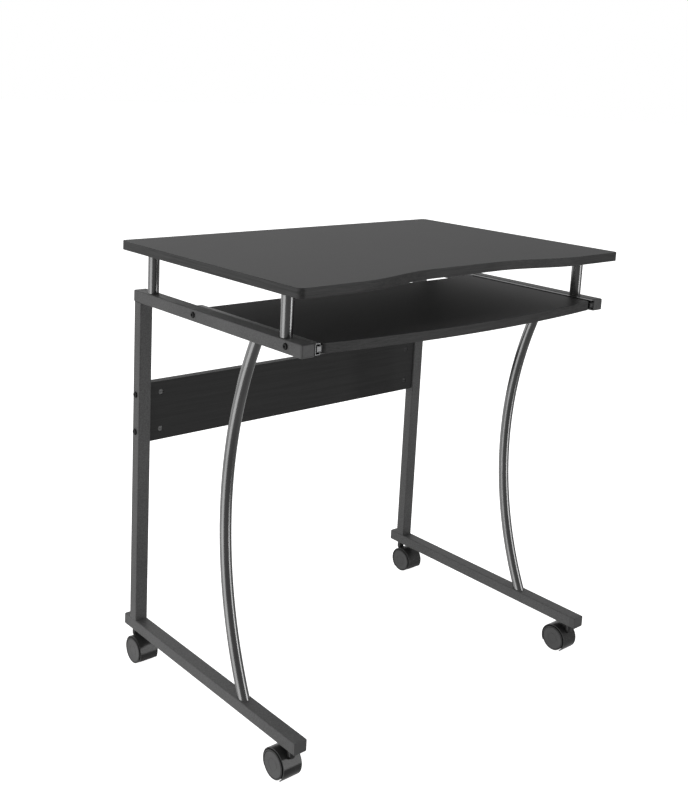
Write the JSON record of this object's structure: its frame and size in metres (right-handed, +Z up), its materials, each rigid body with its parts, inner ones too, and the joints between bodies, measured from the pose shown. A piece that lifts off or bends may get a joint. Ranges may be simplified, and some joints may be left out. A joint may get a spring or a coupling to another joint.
{
  "type": "computer desk",
  "caption": "Small computer desk on casters with a wavy-fronted top, bent tube front legs, a rear panel and a keyboard tray on ball bearing runners.",
  "frame": {"origin": "on the floor, in the middle of the object's box", "axes": "+Z up, +X to the right of someone sitting at the desk, -Y towards that person"},
  "size_m": [0.72, 0.48, 0.75],
  "materials": {
    "board": "black wood-grain laminate, satin",
    "rail_paint": "dark grey textured powder coat",
    "tube_paint": "dark grey metallic gloss paint",
    "cap_plastic": "moulded, fine grain",
    "black_bolt": "black zinc plate",
    "zinc": "zinc plated",
    "hood_plastic": "moulded nylon, semi-gloss",
    "wheel_plastic": "moulded nylon, satin",
    "bright_steel": "bright steel"
  },
  "bodies": {
    "frame": {"desktop": "board", "rear_panel": "board", "left_upper_rail": "rail_paint", "right_upper_rail": "rail_paint", "left_foot_rail": "rail_paint", "right_foot_rail": "rail_paint", "left_rear_leg": "rail_paint", "right_rear_leg": "rail_paint", "left_front_leg": "tube_paint", "right_front_leg": "tube_paint", "front_left_post": "tube_paint", "front_right_post": "tube_paint", "rear_left_post": "tube_paint", "rear_right_post": "tube_paint", "upper_rail_caps": "cap_plastic", "foot_rail_caps": "cap_plastic", "desktop_bolts": "black_bolt", "desktop_inserts": "zinc", "panel_bolts": "black_bolt", "cross_dowels": "zinc", "slide_bolts": "black_bolt", "left_slide_outer": "zinc", "right_slide_outer": "zinc", "caster_stems": "bright_steel", "caster_nuts": "zinc"},
    "tray": {"keyboard_tray": "board", "tray_screws": "zinc", "left_slide_inner": "bright_steel", "right_slide_inner": "bright_steel"},
    "left_cage": {"left_slide_cage": "bright_steel", "left_slide_balls": "bright_steel"},
    "right_cage": {"right_slide_cage": "bright_steel", "right_slide_balls": "bright_steel"},
    "front_left_caster": {"front_left_hood": "hood_plastic", "front_left_axle": "bright_steel"},
    "front_left_outer_wheel": {"front_left_wheel_outer": "wheel_plastic"},
    "front_left_inner_wheel": {"front_left_wheel_inner": "wheel_plastic"},
    "front_right_caster": {"front_right_hood": "hood_plastic", "front_right_axle": "bright_steel"},
    "front_right_outer_wheel": {"front_right_wheel_outer": "wheel_plastic"},
    "front_right_inner_wheel": {"front_right_wheel_inner": "wheel_plastic"},
    "rear_left_caster": {"rear_left_hood": "hood_plastic", "rear_left_axle": "bright_steel"},
    "rear_left_outer_wheel": {"rear_left_wheel_outer": "wheel_plastic"},
    "rear_left_inner_wheel": {"rear_left_wheel_inner": "wheel_plastic"},
    "rear_right_caster": {"rear_right_hood": "hood_plastic", "rear_right_axle": "bright_steel"},
    "rear_right_outer_wheel": {"rear_right_wheel_outer": "wheel_plastic"},
    "rear_right_inner_wheel": {"rear_right_wheel_inner": "wheel_plastic"}
  },
  "joints": [
    {"name": "tray_slide", "type": "slide", "parent": "frame", "child": "tray", "axis": [0, -1, 0], "range_m": [0, 0.21]},
    {"name": "left_cage_slide", "type": "slide", "parent": "frame", "child": "left_cage", "axis": [0, -1, 0], "range_m": [0, 0.105]},
    {"name": "right_cage_slide", "type": "slide", "parent": "frame", "child": "right_cage", "axis": [0, -1, 0], "range_m": [0, 0.105]},
    {"name": "front_left_swivel", "type": "hinge", "parent": "frame", "child": "front_left_caster", "pos_m": [-0.3305, -0.22, 0.05], "axis": [0, 0, 1], "continuous": true},
    {"name": "front_left_outer_spin", "type": "hinge", "parent": "front_left_caster", "child": "front_left_outer_wheel", "pos_m": [-0.3305, -0.2, 0.0225], "axis": [1, 0, 0], "continuous": true},
    {"name": "front_left_inner_spin", "type": "hinge", "parent": "front_left_caster", "child": "front_left_inner_wheel", "pos_m": [-0.3305, -0.2, 0.0225], "axis": [1, 0, 0], "continuous": true},
    {"name": "front_right_swivel", "type": "hinge", "parent": "frame", "child": "front_right_caster", "pos_m": [0.3305, -0.22, 0.05], "axis": [0, 0, 1], "continuous": true},
    {"name": "front_right_outer_spin", "type": "hinge", "parent": "front_right_caster", "child": "front_right_outer_wheel", "pos_m": [0.3305, -0.2, 0.0225], "axis": [1, 0, 0], "continuous": true},
    {"name": "front_right_inner_spin", "type": "hinge", "parent": "front_right_caster", "child": "front_right_inner_wheel", "pos_m": [0.3305, -0.2, 0.0225], "axis": [1, 0, 0], "continuous": true},
    {"name": "rear_left_swivel", "type": "hinge", "parent": "frame", "child": "rear_left_caster", "pos_m": [-0.3305, 0.22, 0.05], "axis": [0, 0, 1], "continuous": true},
    {"name": "rear_left_outer_spin", "type": "hinge", "parent": "rear_left_caster", "child": "rear_left_outer_wheel", "pos_m": [-0.3305, 0.2, 0.0225], "axis": [1, 0, 0], "continuous": true},
    {"name": "rear_left_inner_spin", "type": "hinge", "parent": "rear_left_caster", "child": "rear_left_inner_wheel", "pos_m": [-0.3305, 0.2, 0.0225], "axis": [1, 0, 0], "continuous": true},
    {"name": "rear_right_swivel", "type": "hinge", "parent": "frame", "child": "rear_right_caster", "pos_m": [0.3305, 0.22, 0.05], "axis": [0, 0, 1], "continuous": true},
    {"name": "rear_right_outer_spin", "type": "hinge", "parent": "rear_right_caster", "child": "rear_right_outer_wheel", "pos_m": [0.3305, 0.2, 0.0225], "axis": [1, 0, 0], "continuous": true},
    {"name": "rear_right_inner_spin", "type": "hinge", "parent": "rear_right_caster", "child": "rear_right_inner_wheel", "pos_m": [0.3305, 0.2, 0.0225], "axis": [1, 0, 0], "continuous": true}
  ],
  "couplings": [
    {"joint": "left_cage_slide", "follows": "tray_slide", "ratio": 0.5},
    {"joint": "right_cage_slide", "follows": "tray_slide", "ratio": 0.5}
  ]
}
